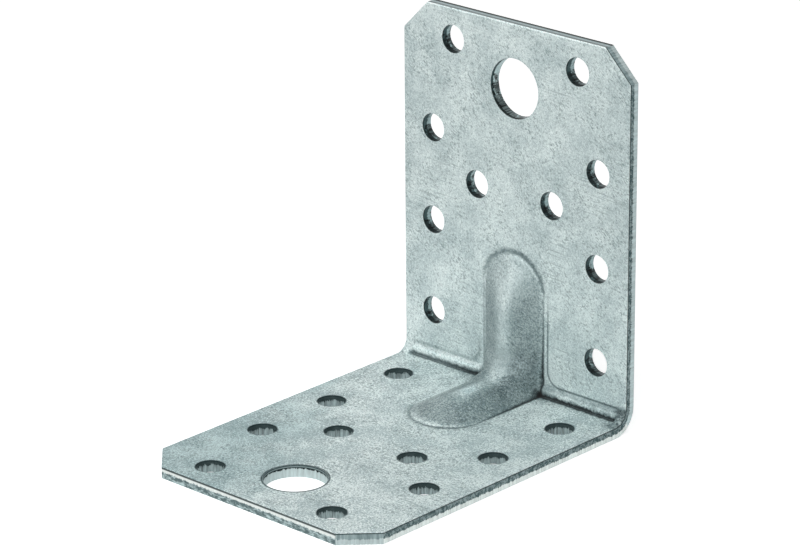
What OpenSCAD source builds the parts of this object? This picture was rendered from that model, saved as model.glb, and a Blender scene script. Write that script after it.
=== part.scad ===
// Ribbed corner brace bracket, punched, folded and pressed from one piece of zinc-coated steel sheet.
// +X runs along the fold, the upright leg's back face looks along +Y, and +Z is up. The origin is
// below the middle of the part, on the plane that the underside rests on.

/* [Sheet] */
// Width of the bracket, along the fold
body_w = 60; // [56:1:80]
// Length of the upright leg, from the underside
leg_up = 80; // [76:1:110]
// Length of the lying leg, from the back face
leg_out = 80; // [76:1:110]
// Thickness of the sheet
sheet_t = 2.5; // [2:0.1:3]
// Size of the cut-off corners
corner_cut = 6.5; // [3:0.5:8]

/* [Fold] */
// Inner radius of the bend at the two side edges
bend_r = 3; // [3:0.5:5]
// Distance from each side edge to the end of the sharp crease
crease_margin = 2; // [1:0.5:5]
// How far the pressed crease stands out from the upright leg
crease_foot = 0.7; // [0.3:0.1:1.2]
// Height of the pressed crease above the lying leg
crease_rise = 2.4; // [1:0.1:2.9]

/* [Holes] */
// Diameter of the screw holes
screw_d = 5.8; // [4:0.1:7]
// Diameter of the bolt hole near each free end
bolt_d = 12.5; // [9:0.5:14]
// Distance from the side edge to the outer holes
row_inset = 8; // [6:0.5:9]
// Distance from the fold's outer corner to the first row
first_row = 13.5; // [12:0.5:16]
// Distance from one row to the next
row_pitch = 20; // [18:0.5:21]
// Number of rows
row_count = 3; // [1:1:3]
// Sideways distance between the two holes just past the rib
inner_span = 20; // [14:1:26]
// Distance from the fold's outer corner to the holes just past the rib
inner_row = 44; // [42:0.5:46]
// Distance from the free end to the bolt hole
bolt_inset = 13.5; // [11:0.5:14.5]
// Distance from the side edge to the two holes at the free end
end_side_inset = 13.5; // [12:0.5:15]
// Distance from the free end to the last two holes
end_inset = 6.5; // [5:0.5:8]

/* [Rib] */
// Width of the rib at the face of the sheet
rib_w = 15.8; // [12:0.2:20]
// Reach of the rib up the upright leg, from the underside
rib_up = 31.5; // [28:0.5:36]
// Reach of the rib along the lying leg, from the back face
rib_out = 30; // [28:0.5:36]
// Height of the rib's crest above the sheet
rib_h = 3.4; // [2:0.1:4]
// Length over which the crest rises from the rib's end to its full height
rib_ramp = 13; // [12:0.5:18]
// Radius of the crest where it sweeps round the corner
rib_sweep_r = 5; // [4:0.5:8]

/* [Hidden] */
$fn = 48;

// Depth inside the sheet at which the rib's solid ends, and the radius of that inner path
root_depth = sheet_t * 0.5;
root_r = sheet_t * 0.8;
// How much narrower the hollow is than the rib, on each side, and how far it runs out of the sheet
hollow_inset = 0.8;
hollow_lip = 0.3;
// Shape of the rib's section. On the legs it has a rounded crest and nearly straight flanks, and
// crest_round is the crest's radius as a share of half the width. In the sweep it is fuller.
crest_round = 0.45;
rib_fullness = 2.6;
// Steps round the rib's rounded end, down its straight part, round the sweep and across it
end_steps = 7;
straight_steps = 5;
sweep_steps = 10;
across_steps = 22;
// A cutter passes this far beyond the faces that it cuts
pass = 1;

outer_r = bend_r + sheet_t;
// Distance from the inner corner to the height at which the crest starts its sweep
sweep_start = rib_h + rib_sweep_r;

// The rib is worked out in the side plane, with its zero at the fold's inner corner: a lane runs down
// beside the upright leg, round the corner and out along the other leg. Depth e is positive towards
// the outer faces, and r is the radius with which the lane turns the corner.
// A station is [0, height] on the upright leg, [1, angle] round the sweep, [2, distance] on the other.
function lane(st, e, r) =
    st[0] == 0 ? [e, st[1]]
    : st[0] == 2 ? [-st[1], -e]
    : let (
        s = sin(st[1]),
        c = cos(st[1]),
        g = sweep_start - (r - e),
        straight = (sweep_start + e) / max(s, c),
        root = r * r - g * g * (c - s) * (c - s),
        reach = straight * min(s, c) <= g ? straight : g * (c + s) + sqrt(max(root, 0))
    ) [reach * c - sweep_start, sweep_start - reach * s];

function from_end(st, up, out) = st[0] == 0 ? up - st[1] : st[0] == 2 ? out - st[1] : rib_ramp;

// Height of the crest at a station: it ramps up from the rib's end
function crest(st, up, out) = rib_h * sin(90 * min(1, max(0, from_end(st, up, out)) / rib_ramp));

// Half the rib's width at a station: constant, with a half-round end
function half_width(st, up, out, half) =
    let (e = min(half, max(0, from_end(st, up, out)))) sqrt(half * half - (half - e) * (half - e));

// Share of the crest's height at u, which runs from -1 to 1 across the rib
function section_fill(st, u) =
    let (
        on_leg = 1 - (sqrt(u * u + crest_round * crest_round) - crest_round)
            / (sqrt(1 + crest_round * crest_round) - crest_round),
        in_sweep = 1 - pow(abs(u), rib_fullness),
        turn = st[0] == 1 ? min(1, 1.6 * (1 - abs(45 - st[1]) / 45)) : 0
    )
    blend(on_leg, in_sweep, turn * turn * (3 - 2 * turn));

function blend(a, b, f) = a * (1 - f) + b * f;

function stations(up, out, half) = concat(
    [for (i = [1 : end_steps]) [0, up - half * (1 - cos(90 * i / end_steps))]],
    [for (i = [1 : straight_steps - 1]) [0, blend(up - half, sweep_start, i / straight_steps)]],
    [for (i = [0 : sweep_steps]) [1, 90 * i / sweep_steps]],
    [for (i = [1 : straight_steps - 1]) [2, blend(sweep_start, out - half, i / straight_steps)]],
    [for (i = [end_steps : -1 : 1]) [2, out - half * (1 - cos(90 * i / end_steps))]]
);

// One section across the rib, from its left foot over the crest to its right foot. The foot lies at
// foot_e and the crest is rib_skin behind the rib's own front face.
function section(st, up, out, half, foot_e, foot_r, rib_skin) =
    let (
        w = half_width(st, up, out, half),
        foot = lane(st, foot_e, foot_r),
        top = lane(st, rib_skin - crest(st, up, out), rib_sweep_r + rib_skin)
    )
    [
        for (j = [0 : across_steps])
            let (u = 2 * j / across_steps - 1, p = blend(foot, top, section_fill(st, u))) [w * u, p.x, p.y]
    ];

// Two more points under the feet of a section, which carry it down into the sheet
function root_points(st, up, out, half) =
    let (w = half_width(st, up, out, half), p = lane(st, root_depth, root_r))
    [[w, p.x, p.y], [-w, p.x, p.y]];

// A closed solid through a list of rings that all have the same number of points
module through(rings) {
    n = len(rings[0]);
    last = len(rings) - 1;
    points = [for (ring = rings) each ring];
    sides = [
        for (i = [0 : last - 1])
            for (j = [0 : n - 1])
                let (a = i * n + j, b = i * n + (j + 1) % n, c = a + n, d = b + n)
                each [[a, b, d], [a, d, c]]
    ];
    cap_a = [for (j = [n - 1 : -1 : 0]) j];
    cap_b = [for (j = [0 : n - 1]) last * n + j];
    polyhedron(points = points, faces = concat(sides, [cap_a, cap_b]), convexity = 6);
}

// Moves a shape drawn about the inner corner to its place in the part
module at_fold() {
    translate([0, leg_out / 2 - sheet_t, sheet_t]) children();
}

// The rib's solid form, from its outer skin down into the sheet
module rib_form() {
    up = rib_up - sheet_t;
    out = rib_out - sheet_t;
    half = rib_w / 2;
    at_fold()
        through([
            for (st = stations(up, out, half))
                concat(section(st, up, out, half, 0, 0, 0), root_points(st, up, out, half))
        ]);
}

// The hollow behind the rib, which leaves the sheet's thickness all over
module rib_hollow() {
    up = rib_up - sheet_t - hollow_inset;
    out = rib_out - sheet_t - hollow_inset;
    half = rib_w / 2 - hollow_inset;
    foot_e = sheet_t + hollow_lip;
    at_fold()
        through([
            for (st = stations(up, out, half))
                section(st, up, out, half, foot_e, outer_r + hollow_lip, sheet_t)
        ]);
}

// A bar along the fold, drawn as a profile in the side plane, with its zero at the inner corner
module along_fold(length) {
    at_fold() rotate([90, 0, 90]) linear_extrude(length, center = true) children();
}

// The two flat legs up to where the bend starts
module legs() {
    start = bend_r;
    along_fold(body_w) {
        translate([0, start]) square([sheet_t, leg_up - sheet_t - start]);
        translate([sheet_t - leg_out, -sheet_t]) square([leg_out - sheet_t - start, sheet_t]);
    }
}

// The square corner that holds the bend, rounded outside
module rounded_corner() {
    intersection() {
        translate([-bend_r, bend_r]) circle(outer_r);
        translate([-bend_r, -sheet_t]) square([outer_r, outer_r]);
    }
}

// The bend between the legs. At the two side edges it keeps its round inner corner. Between them the
// press has squeezed that corner into a sharp crease at the foot of a steep face.
module bend() {
    crease_w = body_w - 2 * crease_margin;
    for (side = [-1, 1])
        translate([side * (body_w - crease_margin) / 2, 0, 0])
            along_fold(crease_margin)
                difference() {
                    rounded_corner();
                    translate([-bend_r, bend_r]) circle(bend_r);
                }
    along_fold(crease_w)
        intersection() {
            rounded_corner();
            polygon([
                [-bend_r, -sheet_t], [sheet_t, -sheet_t], [sheet_t, bend_r], [0, bend_r],
                [0, crease_rise], [-crease_foot, 0], [-bend_r, 0]
            ]);
        }
}

module cut_corners() {
    reach = corner_cut * sqrt(2);
    for (side = [-1, 1]) {
        translate([side * body_w / 2, leg_out / 2, leg_up])
            rotate([0, 45, 0]) cube([reach, 4 * sheet_t, reach], center = true);
        translate([side * body_w / 2, -leg_out / 2, 0])
            rotate([0, 0, 45]) cube([reach, reach, 4 * sheet_t], center = true);
    }
}

// Every hole of one leg: [sideways place, distance from the outer corner, diameter]
function leg_holes(leg) = concat(
    [
        for (row = [0 : row_count - 1])
            for (side = [-1, 1]) [side * (body_w / 2 - row_inset), first_row + row * row_pitch, screw_d]
    ],
    [for (side = [-1, 1]) [side * inner_span / 2, inner_row, screw_d]],
    [for (side = [-1, 1]) [side * (body_w / 2 - end_side_inset), leg - end_inset, screw_d]],
    [[0, leg - bolt_inset, bolt_d]]
);

module holes() {
    for (h = leg_holes(leg_up))
        translate([h.x, leg_out / 2 + pass, h.y])
            rotate([90, 0, 0]) cylinder(d = h.z, h = sheet_t + 2 * pass);
    for (h = leg_holes(leg_out))
        translate([h.x, leg_out / 2 - h.y, -pass]) cylinder(d = h.z, h = sheet_t + 2 * pass);
}

module bracket() {
    color("silver")
        difference() {
            union() {
                legs();
                bend();
                rib_form();
            }
            rib_hollow();
            cut_corners();
            holes();
        }
}

bracket();
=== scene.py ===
"""A ribbed corner brace bracket of galvanised sheet steel, dressed around its packed solid."""

import math

import bpy
import numpy as np
from mathutils import Matrix, Vector


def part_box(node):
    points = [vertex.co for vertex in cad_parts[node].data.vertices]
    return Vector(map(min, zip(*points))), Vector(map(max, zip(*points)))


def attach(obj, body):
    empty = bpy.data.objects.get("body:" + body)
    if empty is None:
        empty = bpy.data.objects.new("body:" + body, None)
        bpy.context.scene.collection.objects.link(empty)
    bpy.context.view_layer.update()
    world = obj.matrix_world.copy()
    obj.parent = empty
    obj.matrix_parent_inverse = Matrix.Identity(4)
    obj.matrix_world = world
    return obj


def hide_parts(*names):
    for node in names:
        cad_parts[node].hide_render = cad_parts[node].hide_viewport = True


bl_info = {
    "name": "Corner brace bracket",
    "version": (1, 0, 0),
    "blender": (4, 5, 0),
    "location": "View3D > Sidebar > Bracket",
    "description": "Models the pressed sheet, its punched holes and its zinc, and sets the studio",
    "category": "Add Mesh",
}

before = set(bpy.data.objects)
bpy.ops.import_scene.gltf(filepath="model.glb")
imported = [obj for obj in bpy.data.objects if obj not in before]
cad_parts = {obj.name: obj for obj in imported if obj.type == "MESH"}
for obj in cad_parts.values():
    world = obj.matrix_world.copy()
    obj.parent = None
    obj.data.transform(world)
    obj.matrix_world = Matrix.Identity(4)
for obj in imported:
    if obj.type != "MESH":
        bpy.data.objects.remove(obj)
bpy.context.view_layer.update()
LOW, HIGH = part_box("bracket")
MM = 0.001
# Places of each leg's holes in millimetres: sideways from its middle, and along it from the fold's
# outer corner, apart from the last two screw holes, which are measured from the free end
ROW_SIDE = 22
FIRST_ROW = 13.5
ROW_PITCH = 20
ROW_COUNT = 3
INNER_SIDE = 10
INNER_ROW = 44
END_SIDE = 16.5
END_INSET = 6.5
BOLT_ROW = 66.5
# Heights over which the press rounds the rib's foot, the hollow's rim and the crease
FOOT_ROUND = 0.22 * MM
HOLLOW_ROUND = 0.9 * MM
CREASE_ROUND = 0.12 * MM
# How far the hollow's outline lies inside the rib's
HOLLOW_INSET = 1.0 * MM
# Beyond its outline the rib's form goes on below the sheet, with this slope
FALL = 0.9
# Each lamp's place in metres and its power in watts. All three are squares that face one point
LAMPS = {
    "front_window": ((-0.10, -0.60, 0.60), 2.75),
    "right_window": ((0.50, -0.55, 0.40), 1.95),
    "skylight": ((0.00, -0.05, 0.80), 1.75),
}
LAMP_SIZE = 0.6
LAMP_TARGET = (0, 0, 0.03)


# Sizes and colours


def length_field(name, description, millimetres):
    return bpy.props.FloatProperty(
        name=name, description=description, default=millimetres * MM, unit="LENGTH"
    )


def colour_field(name, description, colour):
    return bpy.props.FloatVectorProperty(
        name=name, description=description, default=colour, size=4, subtype="COLOR"
    )


class SheetSettings(bpy.types.PropertyGroup):
    """The sheet, its fold and its edges."""

    thickness: length_field("Thickness", "Thickness of the sheet", 2.5)
    corner_cut: length_field("Corner cut", "Size of the cut-off corners", 6.5)
    bend_radius: length_field("Bend radius", "Inner radius at the side edges", 3)
    edge_round: length_field("Edge rounding", "Rounding of the sheared edges", 0.1)


class CreaseSettings(bpy.types.PropertyGroup):
    """The sharp crease that the press leaves along the fold."""

    margin: length_field("Margin", "From each side edge to the crease's end", 2)
    foot: length_field("Foot", "How far the crease stands out", 0.7)
    rise: length_field("Rise", "Height of the crease's face", 2.4)


class RibSettings(bpy.types.PropertyGroup):
    """The stiffening rib, pressed from behind across the fold."""

    width: length_field("Width", "Width at the face of the sheet", 15.8)
    reach_up: length_field("Reach up", "From the underside to the top end", 31.5)
    reach_out: length_field("Reach out", "From the back face to the far end", 30)
    height: length_field("Height", "Crest above the sheet", 3.4)
    ramp: length_field("Ramp", "Length over which the crest rises", 13)
    sweep_radius: length_field("Sweep radius", "Radius of the crest round the corner", 5)
    roundness: bpy.props.FloatProperty(
        name="Roundness", description="Radius of the section's crest, as a share of half the width",
        default=0.45,
    )
    fullness: bpy.props.FloatProperty(
        name="Fullness", description="Roundness of the section in the sweep: 2 is a parabola", default=2.6
    )


class HoleSettings(bpy.types.PropertyGroup):
    """The punched holes, which are alike on both legs."""

    screw: length_field("Screw hole", "Diameter of the screw holes", 5.8)
    bolt: length_field("Bolt hole", "Diameter of the bolt holes", 12.5)
    lip: length_field("Lip", "Rounding of the rims at the outer face", 0.16)
    screw_flare: length_field("Flare", "How far the holes open out at the inner face", 0.04)
    bolt_flare: length_field("Bolt flare", "How far the lying leg's bolt hole opens out there", 0.12)


class ZincSettings(bpy.types.PropertyGroup):
    """Colours of the zinc and of the sheared edges."""

    pale: colour_field("Pale zinc", "Brightest clouds", (0.84, 0.935, 0.92, 1))
    dull: colour_field("Dull zinc", "Darkest clouds", (0.375, 0.475, 0.485, 1))
    fleck: colour_field("Flecks", "Small dark flecks and scratches", (0.17, 0.245, 0.255, 1))
    shear: colour_field("Sheared band", "Smooth part of a cut edge", (0.55, 0.675, 0.685, 1))
    punched: colour_field("Punched band", "Smooth part of a screw hole's wall", (0.33, 0.43, 0.44, 1))
    tear: colour_field("Torn band", "Rough part of a cut edge", (0.065, 0.115, 0.12, 1))


class StudioSettings(bpy.types.PropertyGroup):
    """The floor, the lamps and the camera."""

    azimuth: bpy.props.FloatProperty(
        name="Azimuth", description="Turn of the camera round the bracket", default=math.radians(43.07),
        subtype="ANGLE",
    )
    elevation: bpy.props.FloatProperty(
        name="Elevation", description="Height of the camera", default=math.radians(20.63), subtype="ANGLE"
    )
    roll: bpy.props.FloatProperty(
        name="Roll", description="Tilt of the picture", default=math.radians(-0.43), subtype="ANGLE"
    )
    lens: bpy.props.FloatProperty(
        name="Lens", description="Focal length in millimetres", default=174.86
    )
    eye: bpy.props.FloatVectorProperty(
        name="Eye", description="Place of the camera", size=3, subtype="TRANSLATION",
        default=(0.48794, -0.51833, 0.30557),
    )


SETTINGS = {
    "bracket_sheet": SheetSettings,
    "bracket_crease": CreaseSettings,
    "bracket_rib": RibSettings,
    "bracket_holes": HoleSettings,
    "bracket_zinc": ZincSettings,
    "bracket_studio": StudioSettings,
}


def settings(name):
    return getattr(bpy.context.scene, "bracket_" + name)


# Helpers for modelling


def deselect_all():
    bpy.ops.object.select_all(action="DESELECT")


def make_active(obj):
    deselect_all()
    obj.select_set(True)
    bpy.context.view_layer.objects.active = obj


def edit_all():
    bpy.ops.object.mode_set(mode="EDIT")
    bpy.ops.mesh.select_all(action="SELECT")


def coordinates(mesh):
    co = np.zeros(len(mesh.vertices) * 3)
    mesh.vertices.foreach_get("co", co)
    return co.reshape(-1, 3)


def smoothstep(x):
    t = np.clip(x, 0, 1)
    return t * t * (3 - 2 * t)


def soft_min(a, b, k):
    """The lesser of a and b, with the corner between them rounded over a height of about k."""
    h = np.clip(0.5 + 0.5 * (b - a) / k, 0, 1)
    return b * (1 - h) + a * h - k * h * (1 - h)


# The pressed sheet, worked out along rays
#
# A ray starts on the line round which the rib's crest sweeps and runs out to the sheet. Its reach is
# how far along it a face lies. The blank's own length, s, tells the rays apart: on the upright leg it
# is the height above the inner corner, on the lying leg it is minus the distance from it, and
# between them the rays fan out.


class Press:
    """The front and back of the sheet, as reaches along the rays."""

    def __init__(self):
        sheet, crease, rib = settings("sheet"), settings("crease"), settings("rib")
        self.t = sheet.thickness
        self.bend = sheet.bend_radius
        self.half_w = HIGH.x
        self.margin, self.foot, self.rise = crease.margin, crease.foot, crease.rise
        self.half = rib.width / 2
        self.up = rib.reach_up - self.t
        self.out = rib.reach_out - self.t
        self.h, self.ramp = rib.height, rib.ramp
        self.sweep, self.roundness, self.fullness = rib.sweep_radius, rib.roundness, rib.fullness
        self.start = self.h + self.sweep
        self.corner = (HIGH.y - self.t, LOW.z + self.t)

    def angle(self, s):
        return np.radians(45) * (1 - np.clip(s / self.start, -1, 1))

    def place(self, s, reach):
        """Where a ray's point lies in the side plane, from the inner corner."""
        a = self.angle(s)
        y = np.where(s < -self.start, s, -self.start) + np.sin(math.pi / 2 - a) * reach
        z = np.where(s > self.start, s, self.start) - np.sin(a) * reach
        return y, z

    def lane(self, s, e, r):
        """The reach of a line at depth e behind the front that turns the corner with radius r."""
        a = self.angle(s)
        c, n = np.cos(a), np.sin(a)
        g = self.start - (r - e)
        straight = (self.start + e) / np.maximum(n, c)
        root = np.maximum(r * r - g * g * (c - n) ** 2, 0)
        return np.where(straight * np.minimum(n, c) <= g, straight, g * (c + n) + np.sqrt(root))

    def from_end(self, s, inset=0.0):
        return np.where(s > 0, self.up - s, self.out + s) - inset

    def crest(self, s):
        return self.h * np.sin(math.pi / 2 * np.clip(self.from_end(s) / self.ramp, 0, 1))

    def rib_share(self, x, s, inset):
        """1 on the crest, 0 on the rib's outline, and less than 0 outside it."""
        half = self.half - inset
        e = self.from_end(s, inset)
        inside = np.sqrt(np.maximum(half**2 - (half - np.clip(e, 0, half)) ** 2, 1e-12))
        u = np.abs(x) / inside
        q = self.roundness
        narrow = 1 - (np.sqrt(u * u + q * q) - q) / (math.sqrt(1 + q * q) - q)
        full = 1 - u**self.fullness
        in_sweep = smoothstep(1.6 * (1 - np.abs(s) / self.start))
        return narrow + (full - narrow) * in_sweep

    def beyond(self, x, s, inset):
        """Distance outside the rib's outline, and negative inside it."""
        half = self.half - inset
        e = self.from_end(s, inset)
        return np.where(e < half, np.hypot(x, half - e), np.abs(x)) - half

    def front(self, x, s):
        sheet = self.sheet_front(x, s)
        foot = self.lane(s, 0, 0)
        top = self.lane(s, -self.crest(s), self.sweep)
        share = self.rib_share(x, s, 0)
        away = self.beyond(x, s, 0)
        rib = np.where(away <= 0, foot + (top - foot) * np.clip(share, 0, 1), foot + FALL * away)
        return soft_min(sheet, rib, FOOT_ROUND)

    def sheet_front(self, x, s):
        natural = self.lane(s, 0, self.bend)
        creased = smoothstep((self.half_w - self.margin - np.abs(x)) / (1.2 * MM) + 0.5)
        return natural + (self.crease_strip(s) - natural) * creased

    def crease_strip(self, s):
        """The reach of the strip that bulges out over the crease, found by halving along each ray."""
        sharp = self.lane(s, 0, 0)
        near, far = np.zeros_like(sharp), sharp.copy()
        for _ in range(30):
            middle = (near + far) / 2
            y, z = self.place(s, middle)
            bulge = self.foot * np.sqrt(np.clip(1 - (z / self.rise) ** 2, 0, 1))
            outside = y + bulge > 0
            far = np.where(outside, middle, far)
            near = np.where(outside, near, middle)
        return soft_min(far, sharp, CREASE_ROUND)

    def back(self, x, s):
        sheet = self.lane(s, self.t, self.bend + self.t)
        top = self.lane(s, self.t - self.crest(s), self.sweep + self.t)
        share = self.rib_share(x, s, HOLLOW_INSET)
        away = self.beyond(x, s, HOLLOW_INSET)
        hollow = np.where(away <= 0, sheet + (top - sheet) * np.clip(share, 0, 1), sheet + FALL * away)
        return soft_min(sheet, hollow, HOLLOW_ROUND)

    def shape(self, x, s, depth):
        """A point of the flat blank, moved to where the press and the fold put it."""
        share = depth / self.t
        reach = self.front(x, s) * (1 - share) + self.back(x, s) * share
        y, z = self.place(s, reach)
        return np.stack([x, y + self.corner[0], z + self.corner[1]], 1)


def steps(stops):
    """Places from the first stop to the last: each stop after the first is (place, largest step)."""
    places = [stops[0]]
    for end, step in stops[1:]:
        count = max(1, math.ceil(abs(end - places[-1]) / step - 1e-6))
        places += list(np.linspace(places[-1], end, count + 1)[1:])
    return np.array(places)


def mirrored(places):
    return np.concatenate([-places[::-1], places[1:]])


def add_blank(press):
    """The flat blank's front face: a grid whose lines lie closer where the rib and the fold need
    them, with its rim turned down and its corners drawn in."""
    rim = settings("sheet").edge_round
    turns = [math.radians(90 * step / 3) for step in range(4)]
    rim_in = [rim * (1 - math.cos(turn)) for turn in reversed(turns)]
    rim_down = np.array([rim * (1 - math.sin(turn)) for turn in turns])
    leg = HIGH.z - LOW.z - press.t
    rib_reach = press.up + 3 * MM
    # Across: fine over the rib and its foot, wide on the plain sheet, and finer by the crease's end
    half_x = steps([0.0, (10.4 * MM, 0.22 * MM), (26 * MM, 2.5 * MM), (press.half_w - rim, 0.35 * MM)])
    columns = mirrored(np.append(half_x, [press.half_w - inset for inset in rim_in[1:]]))
    # Along: finest in the crease, fine over the sweep and the rib, and wide on the plain sheet
    fold = press.start
    upper = steps([0.0, (2.6 * MM, 0.1 * MM), (fold, 0.26 * MM), (rib_reach, 0.28 * MM)])
    lower = steps([0.0, (1.0 * MM, 0.1 * MM), (fold, 0.26 * MM), (rib_reach, 0.28 * MM)])
    cut = settings("sheet").corner_cut
    tail = steps([rib_reach, (leg - cut, 5 * MM), (leg - rim, 2 * MM)])[1:]
    tail = np.append(tail, [leg - inset for inset in rim_in[1:]])
    rows = np.concatenate([-tail[::-1], -lower[::-1], upper[1:], tail])
    nx, ny = len(columns) - 1, len(rows) - 1
    bpy.ops.mesh.primitive_grid_add(x_subdivisions=nx, y_subdivisions=ny, size=2)
    blank = bpy.context.active_object
    blank.name = "pressed_sheet"
    mesh = blank.data
    co = coordinates(mesh)
    column = np.rint((co[:, 0] + 1) / 2 * nx).astype(int)
    row = np.rint((co[:, 1] + 1) / 2 * ny).astype(int)
    x, s = columns[column], rows[row]
    drawn_in = np.clip(np.abs(s) - (leg - cut), 0, cut)
    x = x * (press.half_w - drawn_in) / press.half_w
    from_border = np.minimum(np.minimum(column, nx - column), np.minimum(row, ny - row))
    down = rim_down[np.minimum(from_border, 3)]
    mesh.vertices.foreach_set("co", np.stack([x, s, down], 1).ravel())
    mesh.update()
    return blank


def thicken_blank(blank, press):
    """Gives the blank its back face and its sheared edges."""
    edit_all()
    bpy.ops.mesh.extrude_region_move(TRANSFORM_OT_translate={"value": (0, 0, press.t)})
    bpy.ops.mesh.select_all(action="SELECT")
    bpy.ops.mesh.normals_make_consistent(inside=False)
    bpy.ops.object.mode_set(mode="OBJECT")
    for vertex in blank.data.vertices:
        if vertex.co.z > press.t - 0.001 * MM:
            vertex.co.z = 2 * press.t - vertex.co.z
    blank.data.update()
    blank.data.materials.append(zinc_skin())
    blank.data.materials.append(sheared_edge())
    for face in blank.data.polygons:
        face.material_index = 1 if abs(face.normal.z) < 0.1 else 0


def press_blank(blank, press):
    mesh = blank.data
    co = coordinates(mesh)
    mesh.vertices.foreach_set("co", press.shape(co[:, 0], co[:, 1], co[:, 2]).ravel())
    mesh.update()
    edit_all()
    bpy.ops.mesh.flip_normals()
    bpy.ops.object.mode_set(mode="OBJECT")


def leg_holes():
    """Every hole of one leg: sideways place, distance from the outer corner, diameter."""
    holes = settings("holes")
    leg = HIGH.z - LOW.z
    places = [(ROW_SIDE * MM, (FIRST_ROW + ROW_PITCH * row) * MM) for row in range(ROW_COUNT)]
    places += [(INNER_SIDE * MM, INNER_ROW * MM), (END_SIDE * MM, leg - END_INSET * MM)]
    screws = [(side * across, along, holes.screw) for across, along in places for side in (-1, 1)]
    return screws + [(0, BOLT_ROW * MM, holes.bolt)]


def add_punch(press, diameter, centre, turn, lying):
    """A cutter for one hole: straight in the wall, and flared at the two faces."""
    holes = settings("holes")
    small = diameter < holes.bolt
    lip, r, t = holes.lip, diameter / 2, press.t
    flare = holes.bolt_flare if lying and not small else holes.screw_flare
    # How far each step stands outside the hole's radius, and how deep it lies behind the inner face
    profile = [(flare + lip, -lip), (flare, 0.0), (0.3 * flare, 0.16 * t), (0.2 * flare, 0.3 * t)]
    profile += [(0, 0.42 * t), (0, t - lip), (0.3 * lip, t - 0.3 * lip), (lip, t), (2 * lip, t + lip)]
    wide, low = profile[0]
    corners = 48 if small else 96
    bpy.ops.mesh.primitive_circle_add(vertices=corners, radius=r + wide, location=(0, 0, 0))
    punch = bpy.context.active_object
    edit_all()
    bpy.ops.transform.translate(value=(0, 0, low))
    bpy.ops.mesh.edge_face_add()
    for out, depth in profile[1:]:
        bpy.ops.mesh.extrude_region_move(TRANSFORM_OT_translate={"value": (0, 0, depth - low)})
        share = (r + out) / (r + wide)
        bpy.ops.transform.resize(value=(share, share, 1))
        wide, low = out, depth
    bpy.ops.mesh.select_all(action="SELECT")
    bpy.ops.mesh.normals_make_consistent(inside=False)
    bpy.ops.object.mode_set(mode="OBJECT")
    punch.data.materials.append(screw_hole_wall() if small else bolt_hole_wall())
    punch.matrix_world = Matrix.Translation(centre) @ turn
    return punch


def punch_holes(blank, press):
    """Cuts all the holes with one joined cutter."""
    into_upright = Matrix.Rotation(math.radians(-90), 4, "X")
    into_lying = Matrix.Rotation(math.radians(180), 4, "X")
    punches = []
    inner_y, inner_z = press.corner
    for across, along, diameter in leg_holes():
        on_upright = Vector((across, inner_y, LOW.z + along))
        on_lying = Vector((across, HIGH.y - along, inner_z))
        punches.append(add_punch(press, diameter, on_upright, into_upright, lying=False))
        punches.append(add_punch(press, diameter, on_lying, into_lying, lying=True))
    deselect_all()
    for punch in punches:
        punch.select_set(True)
    bpy.context.view_layer.objects.active = punches[0]
    bpy.ops.object.join()
    cutter = bpy.context.active_object
    make_active(blank)
    cut = blank.modifiers.new("punched", "BOOLEAN")
    cut.operation = "DIFFERENCE"
    cut.solver = "EXACT"
    cut.material_mode = "TRANSFER"
    cut.object = cutter
    bpy.ops.object.modifier_apply(modifier=cut.name)
    bpy.data.objects.remove(cutter)


# Materials


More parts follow.
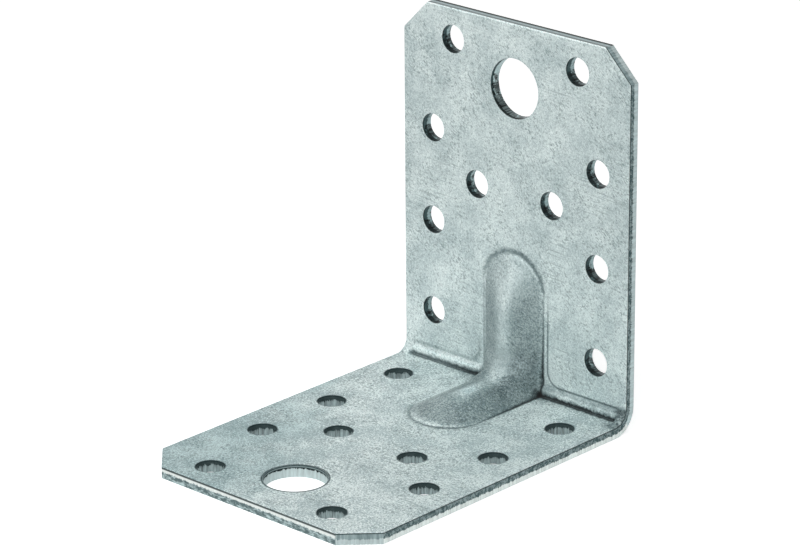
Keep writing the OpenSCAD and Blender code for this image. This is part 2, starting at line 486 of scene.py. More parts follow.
class Nodes:
    """Adds nodes to a tree. A socket given as a value is linked, and anything else is set."""

    def __init__(self, tree):
        self.tree = tree
        tree.nodes.clear()

    def feed(self, socket, value):
        if isinstance(value, bpy.types.NodeSocket):
            self.tree.links.new(value, socket)
        else:
            socket.default_value = value

    def add(self, kind, inputs=None, **properties):
        node = self.tree.nodes.new(kind)
        for name, value in properties.items():
            setattr(node, name, value)
        for key, value in (inputs or {}).items():
            self.feed(node.inputs[key], value)
        return node

    def math(self, operation, a, b=0.0, clamp=False):
        return self.add("ShaderNodeMath", {0: a, 1: b}, operation=operation, use_clamp=clamp).outputs[0]

    def plus(self, a, b, clamp=False):
        return self.math("ADD", a, b, clamp)

    def minus(self, a, b, clamp=False):
        return self.math("SUBTRACT", a, b, clamp)

    def times(self, a, *others):
        for other in others:
            a = self.math("MULTIPLY", a, other)
        return a

    def larger(self, a, b):
        return self.math("MAXIMUM", a, b)

    def smaller(self, a, b):
        return self.math("MINIMUM", a, b)

    def absolute(self, a):
        return self.math("ABSOLUTE", a)

    def distance(self, *sides):
        """The root of the sum of the squares."""
        total = self.math("POWER", sides[0], 2.0)
        for side in sides[1:]:
            total = self.plus(total, self.math("POWER", side, 2.0))
        return self.math("SQRT", total)

    def fade(self, value, start, end, low=0.0, high=1.0):
        """Runs smoothly from low to high while the value goes from start to end."""
        inputs = {"Value": value, "From Min": start, "From Max": end, "To Min": low, "To Max": high}
        return self.add("ShaderNodeMapRange", inputs, interpolation_type="SMOOTHSTEP").outputs[0]

    def mix(self, share, a, b):
        return self.add("ShaderNodeMix", {0: share, 6: a, 7: b}, data_type="RGBA").outputs[2]

    def shade(self, colour, amount):
        """Multiplies a colour by a number."""
        if not isinstance(colour, bpy.types.NodeSocket):
            colour = colour[:3]
        return self.add("ShaderNodeVectorMath", {0: colour, "Scale": amount}, operation="SCALE").outputs[0]

    def tint(self, colour, by):
        return self.add("ShaderNodeVectorMath", {0: colour, 1: by}, operation="MULTIPLY").outputs[0]

    def blend(self, share, a, b):
        return self.add("ShaderNodeMix", {0: share, 2: a, 3: b}, data_type="FLOAT").outputs[0]

    def marked(self, value, mark, level):
        """Multiplies the value by the level where the mark is 1."""
        return self.times(value, self.blend(mark, 1.0, level))

    def stretched(self, vector, size, turn=(0.0, 0.0, 0.0)):
        """Turns the vector, and then divides it by the size of a mark along each axis."""
        inputs = {"Vector": vector, "Scale": size, "Rotation": tuple(math.radians(t) for t in turn)}
        return self.add("ShaderNodeMapping", inputs, vector_type="TEXTURE").outputs[0]

    def noise(self, vector, scale, detail=2.0, roughness=0.5):
        inputs = {"Vector": vector, "Scale": scale, "Detail": detail, "Roughness": roughness}
        return self.add("ShaderNodeTexNoise", inputs).outputs["Fac"]

    def split(self, vector):
        return self.add("ShaderNodeSeparateXYZ", {0: vector}).outputs

    def use(self, group, *inputs):
        node = self.add("ShaderNodeGroup", node_tree=group)
        for socket, value in zip(node.inputs, inputs):
            self.feed(socket, value)
        return node.outputs


def shader_group(name, numbers, sockets_out, vectors=("Millimetres",)):
    """An empty group that is given vectors and then numbers, and that puts out numbers."""
    group = bpy.data.node_groups.new(name, "ShaderNodeTree")
    nodes = Nodes(group)
    for socket in vectors:
        group.interface.new_socket(socket, in_out="INPUT", socket_type="NodeSocketVector")
    for socket in numbers:
        group.interface.new_socket(socket, in_out="INPUT", socket_type="NodeSocketFloat")
    for socket in sockets_out:
        group.interface.new_socket(socket, in_out="OUTPUT", socket_type="NodeSocketFloat")
    given = nodes.add("NodeGroupInput").outputs
    results = nodes.add("NodeGroupOutput").inputs
    return nodes, given, results


def sheet_place_group():
    """Where a point lies in the sheet, in millimetres: its depth behind the inner face, how far the
    press has lifted it off that face, and 1 on the upright leg."""
    found = bpy.data.node_groups.get("sheet_place")
    if found:
        return found
    nodes, given, results = shader_group("sheet_place", [], ["Depth", "Lift", "Upright"])
    _, y, z = nodes.split(given[0])
    sheet = settings("sheet")
    inner_y = HIGH.y / MM - sheet.thickness / MM
    inner_z = sheet.thickness / MM
    bend = sheet.bend_radius / MM
    behind = nodes.larger(nodes.minus(y, inner_y - bend), 0.0)
    below = nodes.larger(nodes.minus(inner_z + bend, z), 0.0)
    depth = nodes.minus(nodes.distance(behind, below), bend)
    lift = nodes.smaller(nodes.minus(inner_y, y), nodes.minus(z, inner_z))
    upright = nodes.fade(nodes.plus(y, z), inner_y + inner_z - 0.5, inner_y + inner_z + 0.5)
    for socket, value in zip(results, (depth, lift, upright)):
        nodes.feed(socket, value)
    return nodes.tree


def past_straight(nodes, y, z):
    """How far a point lies past the rib's straight part: up the upright leg, and out along the other."""
    rib = settings("rib")
    half = rib.width / 2 / MM
    past_up = nodes.minus(z, (LOW.z + rib.reach_up) / MM - half)
    past_out = nodes.minus((HIGH.y - rib.reach_out) / MM + half, y)
    return past_up, past_out


def rib_outline_group():
    """Distance outside the rib's outline, in millimetres, on either leg. It is negative inside it."""
    found = bpy.data.node_groups.get("rib_outline")
    if found:
        return found
    nodes, given, results = shader_group("rib_outline", ["Upright"], ["Outside"])
    x, y, z = nodes.split(given[0])
    past_up, past_out = past_straight(nodes, y, z)
    past = nodes.larger(nodes.blend(given[1], past_out, past_up), 0.0)
    nodes.feed(results[0], nodes.minus(nodes.distance(x, past), settings("rib").width / 2 / MM))
    return nodes.tree


def grain_group():
    """Fine crystalline grain, from 0 to 1."""
    found = bpy.data.node_groups.get("grain")
    if found:
        return found
    nodes, given, results = shader_group("grain", ["Fineness"], ["Grain"])
    coarse = nodes.noise(given[0], given[1], 3.0, 0.6)
    fine = nodes.noise(given[0], nodes.times(given[1], 2.9), 1.0, 0.5)
    nodes.feed(results[0], nodes.fade(nodes.blend(0.45, coarse, fine), 0.34, 0.66))
    return nodes.tree


def begin_material(name):
    material = bpy.data.materials.new(name)
    material.use_nodes = True
    nodes = Nodes(material.node_tree)
    place = nodes.add("ShaderNodeTexCoord").outputs["Object"]
    return material, nodes, nodes.stretched(place, (MM, MM, MM))


def end_material(nodes, colour, metallic, roughness, height, strength, distance, specular=0.5):
    bump = nodes.add("ShaderNodeBump", {"Strength": strength, "Distance": distance, "Height": height})
    inputs = {"Base Color": colour, "Metallic": metallic, "Roughness": roughness}
    inputs.update({"Normal": bump.outputs[0], "Specular IOR Level": specular})
    bsdf = nodes.add("ShaderNodeBsdfPrincipled", inputs)
    nodes.feed(nodes.add("ShaderNodeOutputMaterial").inputs[0], bsdf.outputs[0])


def press_marks_group():
    """What the press has left on the inner face: a share of the colour that stays, and a bite depth. The
    share also carries painted shade and highlights round the rib and along the crease.
    """
    found = bpy.data.node_groups.get("press_marks")
    if found:
        return found
    nodes, given, results = shader_group("press_marks", [], ["Stays", "Bite"], ("Millimetres", "Normal"))
    mm = given[0]
    x, y, z = nodes.split(mm)
    tilt_x = nodes.absolute(nodes.split(given[1])[0])
    depth, lift, upright = nodes.use(sheet_place_group(), mm)
    outside = nodes.use(rib_outline_group(), mm, upright)[0]
    front = nodes.fade(depth, 1.2, 0.6)
    thickness = settings("sheet").thickness
    half = settings("rib").width / 2 / MM
    off_middle = nodes.absolute(x)
    on_right = nodes.fade(x, -2.0, 2.0)
    short_of_bend = nodes.fade(off_middle, 28.2, 27.4)
    past_up, past_out = past_straight(nodes, y, z)
    # The rib's flanks are stretched and dull, and so is the ramp of its lying end. Painted shade adds to
    # their darkness: it follows the flanks' sideways tilt, and is deeper on the right flank and in the
    # sweep, where the crest is darkened too
    raised = nodes.times(nodes.fade(outside, 0.15, -0.25), front)
    ramp = nodes.times(nodes.fade(past_out, -8.0, 1.5), nodes.fade(outside, -0.5, -1.9, 0.0, 0.95))
    in_sweep = nodes.times(nodes.fade(z, 15.0, 9.0), nodes.fade(y, 22.0, 29.0))
    round_sweep = nodes.larger(nodes.fade(x, 0.4, 2.8), nodes.fade(x, -0.3, -3.6, 0.25, 1.0))
    round_sweep = nodes.times(in_sweep, round_sweep)
    lying_right = nodes.times(nodes.fade(x, 1.2, 3.2), nodes.fade(z, 15.0, 9.0))
    sweep_right = nodes.times(in_sweep, nodes.fade(x, 0.8, 3.2))
    sweep_left = nodes.times(in_sweep, nodes.fade(x, -0.6, -3.0))
    far_end = nodes.times(nodes.fade(past_out, -2.0, 5.0), raised)
    # A painted highlight runs on from the sweep along the lying crest
    crest_highlight = nodes.times(nodes.fade(nodes.absolute(nodes.minus(x, 0.3)), 2.7, 0.3), raised)
    crest_highlight = nodes.times(crest_highlight, nodes.fade(y, 16.0, 24.0), nodes.fade(z, 8.5, 6.0))
    flank = nodes.larger(nodes.fade(tilt_x, 0.07, 0.45), ramp)
    flank = nodes.larger(flank, nodes.times(lying_right, nodes.fade(outside, -0.4, -1.4)))
    flank = nodes.times(nodes.larger(flank, round_sweep), raised)
    speckled = nodes.fade(nodes.noise(mm, 2.9, 3.0, 0.75), 0.42, 0.58, 0.37, 0.65)
    # Painted shade: the right flank and both sides of the crest in the sweep are darker
    for side, level in ((sweep_right, 0.76), (sweep_left, 0.86), (on_right, 0.88)):
        speckled = nodes.marked(speckled, side, level)
    # In the sweep the crest's highlight is toned down with painted shade
    crest = nodes.times(raised, nodes.blend(in_sweep, nodes.fade(z, 9.0, 12.0, 0.0, 0.14), 1.0))
    crest_shade_level = nodes.fade(y, 20.0, 27.0, 0.78, 0.55)
    stays = nodes.blend(flank, nodes.blend(crest, 1.0, crest_shade_level), speckled)
    # A line bitten round its foot, deepest beside the fold, and wider and softer round its ends. The
    # bite's groove is a real bump, and its darkness is painted shade, darker on the right
    wander = nodes.fade(nodes.noise(mm, 0.8, 3.0, 0.6), 0.2, 0.8, -0.1, 0.1)
    torn_up = nodes.fade(nodes.noise(mm, 1.3, 4.0, 0.75), 0.3, 0.7, -0.35, 0.35)
    torn_up = nodes.times(torn_up, upright, nodes.fade(past_up, -4.0, 2.0, 0.2, 1.0))
    near = nodes.plus(nodes.plus(outside, wander), torn_up)
    near = nodes.absolute(nodes.minus(near, 0.16))
    deep = nodes.blend(upright, nodes.fade(y, 12.0, 29.0), nodes.fade(z, 24.0, 7.0))
    past = nodes.blend(upright, past_out, past_up)
    width = nodes.blend(nodes.times(deep, on_right), 0.34, nodes.blend(upright, 0.72, 0.56))
    at_top = nodes.times(nodes.fade(past, 0.0, 3.5), upright)
    width = nodes.plus(width, nodes.fade(past, 0.0, 6.0, 0.0, 0.20))
    width = nodes.plus(width, nodes.times(at_top, 0.40))
    bite = nodes.times(nodes.fade(nodes.math("DIVIDE", near, width), 1.0, 0.1), front)
    bite_shade_level = nodes.blend(on_right, nodes.blend(deep, 0.74, 0.50), nodes.blend(deep, 0.48, 0.04))
    bite_shade_level = nodes.minus(bite_shade_level, nodes.fade(past, 0.0, 6.0, 0.0, 0.14))
    bite_shade_level = nodes.blend(at_top, bite_shade_level, nodes.blend(on_right, 0.54, 0.44))
    # A painted highlight runs just inside the rib's outline, round its foot
    rim = nodes.times(nodes.fade(outside, -0.85, -0.50), nodes.fade(outside, -0.06, -0.24), front)
    rim_highlight_level = nodes.blend(upright, 1.12, nodes.blend(on_right, 1.50, 1.32))
    rim_highlight_level = nodes.blend(at_top, rim_highlight_level, nodes.blend(on_right, 1.02, 1.28))
    halo = nodes.times(nodes.fade(outside, -0.3, 0.3), nodes.fade(outside, 1.5, 0.4))
    halo = nodes.times(halo, nodes.fade(past, -1.0, 5.0), front)
    # The press tool's own edge, beside the rib's foot and along the top of the crease
    turn_radius = 3.2
    beside = nodes.minus(off_middle, half + 1.35)
    over = nodes.minus(z, (LOW.z + thickness + settings("crease").rise) / MM + 0.25)
    in_x = nodes.larger(nodes.minus(turn_radius, beside), 0.0)
    in_z = nodes.larger(nodes.minus(turn_radius, over), 0.0)
    from_line = nodes.absolute(nodes.minus(nodes.distance(in_x, in_z), turn_radius))
    tool_edge = nodes.times(nodes.fade(from_line, nodes.blend(on_right, 0.80, 0.36), 0.05), front)
    line_top = nodes.blend(on_right, 12.0, 27.0)
    tool_edge = nodes.times(tool_edge, nodes.fade(nodes.math("DIVIDE", z, line_top), 1.0, 0.6))
    tool_edge = nodes.times(tool_edge, short_of_bend, nodes.fade(lift, 0.5, 0.2))
    # Painted shade in the crease, darkest where the rib meets it, more painted shade in the corner at the
    # rib's foot, and a patchy painted shadow on the lying leg beside the crease near the rib
    crease_y = (HIGH.y - thickness - settings("crease").foot) / MM
    from_y = nodes.minus(y, crease_y)
    from_z = nodes.minus(z, (LOW.z + thickness) / MM)
    from_crease = nodes.plus(nodes.distance(from_y, from_z), wander)
    ragged = nodes.fade(nodes.noise(mm, 0.9, 4.0, 0.6), 0.3, 0.7, -0.16, 0.16)
    by_rib = nodes.fade(off_middle, 20.0, 8.0)
    crease_shade = nodes.times(nodes.fade(nodes.plus(from_crease, ragged), 1.15, 0.36), front)
    crease_shade = nodes.times(crease_shade, nodes.fade(off_middle, 28.8, 27.4))
    from_foot = nodes.distance(nodes.minus(off_middle, half), from_y, from_z)
    corner = nodes.times(nodes.fade(from_foot, 2.8, 0.4), front)
    crease_shadow = nodes.times(nodes.fade(from_crease, 3.6, 0.6), nodes.fade(off_middle, 20.0, 9.0))
    shadow_patches = nodes.fade(nodes.noise(mm, 0.7, 4.0, 0.7), 0.36, 0.58, 0.3, 1.0)
    crease_shadow = nodes.times(crease_shadow, nodes.fade(z, 4.2, 3.4), shadow_patches)
    # The strip above the crease is dull and patchy on the right
    above = nodes.times(nodes.fade(over, 0.3, -0.3), nodes.fade(y, crease_y - 0.5, crease_y + 0.1), front)
    above = nodes.times(above, nodes.fade(off_middle, half, half + 0.8))
    strip = nodes.times(above, on_right)
    patchy = nodes.fade(nodes.noise(mm, 0.9, 4.0, 0.7), 0.38, 0.60, 0.72, 1.0)
    strip_top = nodes.times(strip, nodes.fade(nodes.plus(over, wander), -1.5, -0.8))
    # A painted highlight along the strip just above the crease
    crease_highlight = nodes.times(nodes.fade(from_crease, 1.15, 1.45), nodes.fade(from_crease, 2.0, 1.6))
    crease_highlight = nodes.times(crease_highlight, above, short_of_bend)
    # Patchy painted shade in the round bend at the right edge
    bend_shade = nodes.times(nodes.fade(x, 26.6, 28.4), nodes.fade(z, 6.4, 4.6))
    bend_shade = nodes.times(bend_shade, nodes.fade(from_crease, 4.6, 2.6), front)
    marks = (
        (bite, bite_shade_level),
        (rim, rim_highlight_level),
        (halo, 0.74),
        (tool_edge, nodes.blend(on_right, 0.70, 0.37)),
        (crease_shade, nodes.blend(nodes.larger(by_rib, on_right), 0.22, 0.06)),
        (crease_shadow, 0.70),
        (crease_highlight, 1.22),
        (crest_highlight, 1.50),
        (far_end, 0.86),
        (corner, 0.42),
        (strip, patchy),
        (strip_top, 0.64),
        (bend_shade, nodes.fade(nodes.noise(mm, 1.4, 3.0, 0.7), 0.40, 0.60, 0.22, 0.60)),
    )
    for mark, level in marks:
        stays = nodes.marked(stays, mark, level)
    nodes.feed(results[0], stays)
    nodes.feed(results[1], nodes.plus(nodes.times(bite, 3.0), nodes.times(tool_edge, 2.0)))
    return nodes.tree


def zinc_skin():
    """Dull cloudy zinc with grain, flecks and rubbed scratches, darker where the press stretched it, with
    painted shade and highlights round the rib, along the crease, towards the lying leg's free left corner
    and on the top arris.
    """
    found = bpy.data.materials.get("zinc_skin")
    if found:
        return found
    zinc = settings("zinc")
    material, nodes, mm = begin_material("zinc_skin")
    depth, _, upright = nodes.use(sheet_place_group(), mm)
    lying = nodes.minus(1.0, upright)
    grain = nodes.use(grain_group(), mm, nodes.blend(upright, 2.4, 2.7))[0]
    clouds = nodes.fade(nodes.noise(mm, 0.11, 3.0, 0.55), 0.34, 0.66)
    mottle = nodes.fade(nodes.noise(mm, 0.62, 4.0, 0.65), 0.32, 0.68)
    cloudy = nodes.blend(0.32, clouds, mottle)
    tone = nodes.blend(nodes.blend(upright, 0.64, 0.56), cloudy, grain)
    tone = nodes.minus(tone, 0.5)
    tone = nodes.times(tone, nodes.blend(upright, 5.4, 1.3))
    tone = nodes.plus(tone, 0.5, clamp=True)
    colour = nodes.mix(tone, zinc.dull, zinc.pale)
    # Short slanting hairlines, and finer flecks
    marks = nodes.noise(nodes.stretched(mm, (1.5, 0.3, 0.3), (0, 38, 25)), 1.0, 3.0, 0.6)
    bunches = nodes.fade(nodes.noise(mm, 0.16, 2.0, 0.5), 0.38, 0.60, -0.05, 0.03)
    marks = nodes.fade(nodes.plus(marks, bunches), 0.57, 0.64, 0.0, 0.70)
    thicker = nodes.fade(nodes.noise(mm, 0.19, 2.0, 0.5), 0.38, 0.60, -0.03, 0.055)
    thicker = nodes.times(thicker, nodes.blend(upright, 1.0, 0.4))
    specks = nodes.plus(nodes.noise(mm, 1.7, 5.0, 0.85), thicker)
    specks = nodes.fade(specks, 0.575, 0.63, 0.0, nodes.blend(upright, 0.92, 0.75))
    # Long straight rubs along the sheet, in patches
    rubs = nodes.noise(nodes.stretched(mm, (16.0, 0.24, 0.24), (0, 4, 1)), 1.0, 2.0, 0.5)
    patches = nodes.fade(nodes.noise(mm, 0.055, 1.0, 0.5), 0.50, 0.63)
    rubs = nodes.times(nodes.fade(rubs, 0.56, 0.66, 0.0, 0.50), patches)
    dark = nodes.larger(nodes.larger(marks, specks), rubs)
    colour = nodes.mix(dark, colour, zinc.fleck)
    normal = nodes.add("ShaderNodeTexCoord").outputs["Normal"]
    stays, bite = nodes.use(press_marks_group(), mm, normal)
    # A dark ring lies on the lip of the lying leg's bolt hole
    x, y, z = nodes.split(mm)
    holes = settings("holes")
    on_front = nodes.fade(depth, 0.6, 0.3)
    from_bolt = nodes.distance(nodes.minus(y, HIGH.y / MM - BOLT_ROW), x)
    from_bolt = nodes.minus(from_bolt, holes.bolt / 2 / MM)
    ring = nodes.times(nodes.fade(from_bolt, 0.66, 0.50), nodes.fade(from_bolt, 0.10, 0.34, 0.50, 1.0))
    stays = nodes.marked(stays, nodes.times(ring, on_front), 0.21)
    # Its screw holes have dark rims. The distance to the nearest one starts from far away
    off_middle = nodes.absolute(x)
    from_hole = 99.0
    for across, along, _ in leg_holes():
        if across > 0:
            beside = nodes.minus(off_middle, across / MM)
            beyond = nodes.minus(y, (HIGH.y - along) / MM)
            from_hole = nodes.smaller(nodes.distance(beside, beyond), from_hole)
    from_rim = nodes.minus(from_hole, holes.screw / 2 / MM)
    rim = nodes.times(nodes.fade(from_rim, 0.34, 0.12), lying, on_front)
    stays = nodes.marked(stays, rim, nodes.blend(mottle, 0.22, 0.50))
    # Painted shade darkens the lying leg towards its free left corner, and a painted highlight runs along
    # the top arris
    leftward = nodes.plus(x, nodes.times(y, 0.5))
    leftward = nodes.plus(leftward, nodes.fade(nodes.noise(mm, 0.08, 3.0, 0.6), 0.3, 0.7, -8.0, 8.0))
    left_end_shade = nodes.times(nodes.fade(leftward, -8.0, -36.0), lying)
    colour = nodes.mix(left_end_shade, colour, nodes.tint(colour, (0.92, 1.0, 1.01)))
    unshaded_level = nodes.blend(upright, 1.105, nodes.fade(z, 50.0, 15.0, 1.01, 1.12))
    stays = nodes.times(stays, nodes.blend(left_end_shade, unshaded_level, 0.82))
    upper_right = nodes.times(nodes.fade(x, 8.0, 24.0), nodes.fade(z, 35.0, 55.0))
    stays = nodes.marked(stays, upper_right, 0.92)
    arris = nodes.fade(nodes.noise(mm, 0.7, 3.0, 0.6), 0.35, 0.6, 0.24, 0.36)
    arris = nodes.fade(nodes.plus(z, arris), HIGH.z / MM, HIGH.z / MM + 0.1)
    stays = nodes.marked(stays, nodes.times(arris, on_front), 1.5)
    lost = nodes.minus(1.0, stays, clamp=True)
    matt = nodes.fade(lost, 0.45, 0.9)
    colour = nodes.mix(lost, colour, nodes.tint(colour, (0.84, 1.03, 1.07)))
    colour = nodes.shade(colour, stays)
    roughness = nodes.fade(nodes.blend(0.5, mottle, grain), 0.1, 0.9, 0.52, 0.40)
    roughness = nodes.blend(matt, roughness, 0.95)
    height = nodes.blend(0.35, grain, mottle)
    height = nodes.minus(height, nodes.times(dark, 0.8))
    height = nodes.minus(height, bite)
    metallic = nodes.blend(matt, 0.28, 0.0)
    end_material(nodes, colour, metallic, roughness, height, 0.7, 0.02 * MM)
    return material


def cut_face_group():
    """A face that a blade or punch has cut: 1 where it is torn, and streaks where it is smooth."""
    found = bpy.data.node_groups.get("cut_face")
    if found:
        return found
    numbers = ["Into", "Upright", "Torn depth", "Raggedness"]
    nodes, given, results = shader_group("cut_face", numbers, ["Torn", "Streaks"])
    along_lying = nodes.noise(nodes.stretched(given[0], (0.42, 0.42, 4.0)), 1.0, 3.0, 0.65)
    along_upright = nodes.noise(nodes.stretched(given[0], (0.42, 4.0, 0.42)), 1.0, 3.0, 0.65)
    streaks = nodes.blend(given[2], along_lying, along_upright)
    ragged = nodes.minus(nodes.blend(0.45, nodes.noise(given[0], 0.8, 4.0, 0.75), streaks), 0.5)
    edge = nodes.plus(given[1], nodes.times(ragged, given[4]))
    nodes.feed(results[0], nodes.fade(nodes.minus(edge, given[3]), 0.06, -0.06))
    nodes.feed(results[1], nodes.fade(streaks, 0.33, 0.68))
    return nodes.tree


class Cut:
    """A material for a cut through the sheet, with what all of its cuts share."""

    def __init__(self, name, fineness):
        self.material, self.nodes, self.mm = begin_material(name)
        nodes = self.nodes
        self.depth, _, self.upright = nodes.use(sheet_place_group(), self.mm)
        self.lying = nodes.minus(1.0, self.upright)
        self.grain = nodes.use(grain_group(), self.mm, fineness)[0]
        self.mottle = nodes.fade(nodes.noise(self.mm, 0.8, 4.0, 0.7), 0.36, 0.64)
        self.normal = nodes.split(nodes.add("ShaderNodeTexCoord").outputs["Normal"])

    def bands(self, into, torn_depth, raggedness):
        """1 on the torn band beside one face, and the streaks of the smooth band beyond it."""
        return self.nodes.use(cut_face_group(), self.mm, into, self.upright, torn_depth, raggedness)

    def mottled(self, colour, amount):
        """The torn band's colour, with patches that are lighter by a share of the given colour."""
        lighter = self.nodes.times(self.nodes.blend(0.45, self.mottle, self.grain), amount)
        return self.nodes.mix(lighter, settings("zinc").tear, colour)

    def wall_tint(self, colour):
        """Holes look warmer in the lying leg and cooler in the upright one."""
        warmer = self.nodes.tint(colour, (1.0, 0.97, 0.96))
        return self.nodes.mix(self.upright, warmer, self.nodes.tint(colour, (0.93, 1.0, 1.0)))

    def dark_wall_patches(self, colour, streaks):
        """Dark patches in the upright leg's holes, mostly low in them."""
        nodes = self.nodes
        facing_up = nodes.times(nodes.fade(self.normal[2], -0.5, 0.8), self.upright, 0.19)
        patches = nodes.fade(nodes.plus(nodes.noise(self.mm, 0.7, 4.0, 0.75), facing_up), 0.55, 0.63)
        patches = nodes.times(patches, self.upright)
        return nodes.shade(colour, nodes.blend(patches, 1.0, nodes.blend(streaks, 0.03, 0.32)))

    def finish(self, colour, is_torn, streaks, arris):
        """Draws a fine dark line along the inner face's edge, and makes the surface."""
        nodes = self.nodes
        line = nodes.fade(self.depth, arris, nodes.plus(arris, 0.16), 0.94, 0.0)
        colour = nodes.mix(line, colour, nodes.shade(settings("zinc").tear, 0.4))
        roughness = nodes.blend(is_torn, 0.4, 0.62)
        height = nodes.blend(is_torn, nodes.times(streaks, 0.4), nodes.minus(self.grain, 0.7))
        end_material(nodes, colour, 0.5, roughness, height, 0.8, 0.06 * MM, specular=0.15)
        return self.material


def sheared_edge():
    """The sheet's outer edges: its sides, its two free ends and its cut-off corners."""
    found = bpy.data.materials.get("sheared_edge")
    if found:
        return found
    zinc = settings("zinc")
    thickness = settings("sheet").thickness / MM
    cut = Cut("sheared_edge", 1.8)
    nodes, depth, upright = cut.nodes, cut.depth, cut.upright
    x, y, z = nodes.split(cut.mm)
    low_end = nodes.math("LESS_THAN", y, LOW.y / MM + 0.1)
    top_end = nodes.math("GREATER_THAN", z, HIGH.z / MM - 0.1)
    sideways = nodes.absolute(cut.normal[0])
    across = nodes.larger(nodes.absolute(cut.normal[1]), nodes.absolute(cut.normal[2]))
    chamfer = nodes.fade(nodes.times(sideways, across), 0.35, 0.42)
    side = nodes.fade(sideways, 0.85, 0.95)
    # The two free ends were sheared from the other side, so their torn band lies outside
    flipped = nodes.larger(low_end, top_end)
    into = nodes.blend(flipped, depth, nodes.minus(thickness, depth))
    torn_depth = nodes.blend(flipped, 1.22, 0.56 * thickness)
    torn_depth = nodes.blend(nodes.times(side, cut.lying), torn_depth, 1.42)
    torn_depth = nodes.blend(chamfer, torn_depth, 1.35)
    is_torn, streaks = cut.bands(into, torn_depth, nodes.blend(chamfer, 1.6, 2.0))
    polish = nodes.blend(side, nodes.blend(low_end, 0.62, 1.20), nodes.blend(upright, 1.33, 1.03))
    polish = nodes.blend(chamfer, polish, 0.88)
    smooth = nodes.shade(zinc.shear, nodes.blend(streaks, nodes.blend(flipped, 0.80, 0.95), 1.05))
    smooth = nodes.shade(smooth, polish)
    warm = nodes.larger(low_end, nodes.times(chamfer, 0.25))
    warm = nodes.larger(warm, nodes.times(side, nodes.blend(upright, 0.85, 0.0)))
    smooth = nodes.mix(warm, smooth, nodes.tint(smooth, (1.16, 1.01, 0.97)))
    lighter = nodes.times(nodes.blend(0.45, cut.mottle, cut.grain), 0.7, 1.15)
    speckle = nodes.fade(nodes.blend(0.6, cut.mottle, cut.grain), 0.30, 0.75, 0.0, 0.52)
    lighter = nodes.blend(side, lighter, speckle)
    patches = nodes.noise(nodes.stretched(cut.mm, (1.7, 0.7, 0.7)), 1.0, 4.0, 0.75)
    lighter = nodes.blend(low_end, lighter, nodes.fade(patches, 0.44, 0.62, 0.12, 0.95))
    lighter = nodes.blend(chamfer, lighter, nodes.blend(streaks, 0.25, 0.62))
    colour = nodes.mix(is_torn, smooth, nodes.mix(lighter, zinc.tear, zinc.shear))
    # Two dark lines run along the top edge: one down its middle and one at the back
    middle = nodes.fade(nodes.absolute(nodes.minus(into, 1.86)), 0.38, 0.14)
    lit = nodes.blend(nodes.fade(into, 0.55, 1.30), 0.07, nodes.blend(streaks, 0.72, 0.86))
    rolled = nodes.shade(zinc.shear, nodes.times(lit, nodes.blend(middle, 1.0, 0.42)))
    colour = nodes.mix(top_end, colour, rolled)
    # The cut-off corner at the lying leg's free left end is in the dark
    far_corner = nodes.times(chamfer, nodes.fade(x, 0.0, -1.0), nodes.fade(z, 4.0, 3.0))
    colour = nodes.shade(colour, nodes.blend(far_corner, 1.0, 0.35))
    return cut.finish(colour, is_torn, streaks, nodes.blend(low_end, 0.24, 0.40))


def screw_hole_wall():
    """Torn deep on the lying leg, and with a longer smooth streak on the upright one."""
    found = bpy.data.materials.get("screw_hole_wall")
    if found:
        return found
    punched = settings("zinc").punched
    cut = Cut("screw_hole_wall", 2.8)
    nodes, upright = cut.nodes, cut.upright
    torn_depth = nodes.blend(upright, 1.02, 1.25)
    is_torn, streaks = cut.bands(cut.depth, torn_depth, nodes.blend(upright, 3.4, 1.8))
    smooth = nodes.shade(punched, nodes.blend(streaks, nodes.blend(upright, 0.40, 0.80), 1.05))
    smooth = nodes.shade(smooth, nodes.blend(upright, 1.10, 1.25))
    torn = nodes.shade(cut.mottled(punched, 0.22), nodes.blend(upright, 0.55, 1.0))
    colour = cut.wall_tint(nodes.mix(is_torn, smooth, torn))
    return cut.finish(cut.dark_wall_patches(colour, streaks), is_torn, streaks, 0.14)


def bolt_hole_wall():
    """A shallow torn band with ragged teeth, and a rounded lip that catches light."""
    found = bpy.data.materials.get("bolt_hole_wall")
    if found:
        return found
    shear = settings("zinc").shear
    cut = Cut("bolt_hole_wall", 2.8)
    nodes, depth = cut.nodes, cut.depth
    is_torn, streaks = cut.bands(depth, 0.64, 2.2)
    smooth = nodes.shade(shear, nodes.blend(streaks, 0.80, 1.05))
    colour = cut.wall_tint(nodes.mix(is_torn, smooth, cut.mottled(shear, 0.05)))
    lip = nodes.fade(nodes.absolute(nodes.minus(depth, 0.24)), 0.15, 0.05, 0.0, 0.75)
    colour = nodes.mix(nodes.times(lip, cut.lying), colour, nodes.shade(shear, 0.55))
    teeth = nodes.times(is_torn, nodes.fade(depth, 0.36, 0.48, 0.0, 0.8))
    colour = nodes.shade(colour, nodes.minus(1.0, teeth))
    return cut.finish(cut.dark_wall_patches(colour, streaks), is_torn, streaks, 0.02)


# Operators


class MakeSheet(bpy.types.Operator):
    """Models the sheet: blank, cut corners, thickness, press and fold, then holes"""

    bl_idname = "bracket.make_sheet"
    bl_label = "Pressed sheet"

    def execute(self, context):
        press = Press()
        deselect_all()
        sheet = add_blank(press)
        thicken_blank(sheet, press)
        press_blank(sheet, press)
        punch_holes(sheet, press)
        make_active(sheet)
        bpy.ops.object.shade_smooth_by_angle(angle=math.radians(35))
        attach(sheet, "root")
        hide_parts("bracket")
        return {"FINISHED"}


class MakeStage(bpy.types.Operator):
    """Sets the floor, the lamps, the world and the camera"""

    bl_idname = "bracket.make_stage"
    bl_label = "Stage"

    def execute(self, context):
        add_floor()
        add_lamps()
        add_camera()
        return {"FINISHED"}


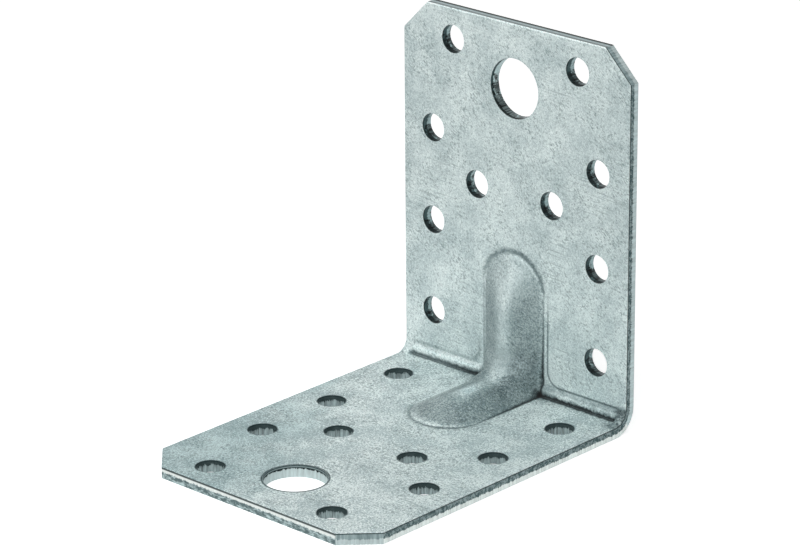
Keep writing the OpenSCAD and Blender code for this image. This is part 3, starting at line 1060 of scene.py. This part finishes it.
def background_share(nodes, plain, shown):
    """A strength that is one number for light on the object, and another where the ground is seen."""
    rays = nodes.add("ShaderNodeLightPath").outputs
    seen = nodes.larger(rays["Is Camera Ray"], rays["Is Glossy Ray"])
    seen = nodes.larger(seen, rays["Is Transmission Ray"])
    return nodes.blend(seen, plain, shown)


def add_floor():
    bpy.ops.mesh.primitive_plane_add(size=6, location=(0, 0, LOW.z - 0.02 * MM))
    floor = bpy.context.active_object
    floor.name = "floor"
    material = bpy.data.materials.new("floor_white")
    material.use_nodes = True
    nodes = Nodes(material.node_tree)
    paper = nodes.add("ShaderNodeBsdfDiffuse", {"Color": (0.8, 0.8, 0.8, 1)})
    glow = nodes.add("ShaderNodeEmission", {"Strength": background_share(nodes, 0.0, 0.75)})
    both = nodes.add("ShaderNodeAddShader", {0: paper.outputs[0], 1: glow.outputs[0]})
    nodes.feed(nodes.add("ShaderNodeOutputMaterial").inputs[0], both.outputs[0])
    floor.data.materials.append(material)


def add_lamps():
    scene = bpy.context.scene
    world = scene.world or bpy.data.worlds.new("studio")
    scene.world = world
    world.use_nodes = True
    nodes = Nodes(world.node_tree)
    sky = nodes.add("ShaderNodeBackground", {"Strength": background_share(nodes, 0.03, 1.0)})
    sky.inputs["Color"].default_value = (1, 1, 1, 1)
    nodes.feed(nodes.add("ShaderNodeOutputWorld").inputs[0], sky.outputs[0])
    for name, (place, power) in LAMPS.items():
        lamp = bpy.data.lights.new(name, "AREA")
        lamp.energy = power
        lamp.size = LAMP_SIZE
        holder = bpy.data.objects.new(name, lamp)
        scene.collection.objects.link(holder)
        holder.location = place
        holder.rotation_mode = "QUATERNION"
        holder.rotation_quaternion = (Vector(place) - Vector(LAMP_TARGET)).to_track_quat("Z", "Y")


def add_camera():
    studio = settings("studio")
    data = bpy.data.cameras.new("camera")
    data.lens = studio.lens
    data.sensor_width = 36
    data.clip_start, data.clip_end = 0.01, 20
    camera = bpy.data.objects.new("camera", data)
    bpy.context.scene.collection.objects.link(camera)
    turn = Matrix.Rotation(studio.azimuth, 4, "Z")
    tilt = Matrix.Rotation(math.pi / 2 - studio.elevation, 4, "X")
    roll = Matrix.Rotation(studio.roll, 4, "Z")
    camera.matrix_world = Matrix.Translation(studio.eye) @ turn @ tilt @ roll
    bpy.context.scene.camera = camera
    bpy.context.scene.view_settings.view_transform = "Standard"


class BracketPanel(bpy.types.Panel):
    """Lists what makes the bracket and its studio"""

    bl_idname = "VIEW3D_PT_bracket"
    bl_label = "Corner brace bracket"
    bl_space_type = "VIEW_3D"
    bl_region_type = "UI"
    bl_category = "Bracket"

    def draw(self, context):
        for operator in OPERATORS:
            self.layout.operator(operator.bl_idname)
        for name, group in SETTINGS.items():
            box = self.layout.box()
            box.label(text=group.__doc__)
            for field in group.__annotations__:
                box.prop(getattr(context.scene, name), field)


OPERATORS = (MakeStage, MakeSheet)
CLASSES = (*SETTINGS.values(), *OPERATORS, BracketPanel)


def register():
    for cls in CLASSES:
        bpy.utils.register_class(cls)
    for name, group in SETTINGS.items():
        setattr(bpy.types.Scene, name, bpy.props.PointerProperty(type=group))


def unregister():
    for name in SETTINGS:
        delattr(bpy.types.Scene, name)
    for cls in reversed(CLASSES):
        bpy.utils.unregister_class(cls)


def main():
    register()
    bpy.ops.bracket.make_stage()
    bpy.ops.bracket.make_sheet()


if __name__ == "__main__":
    main()
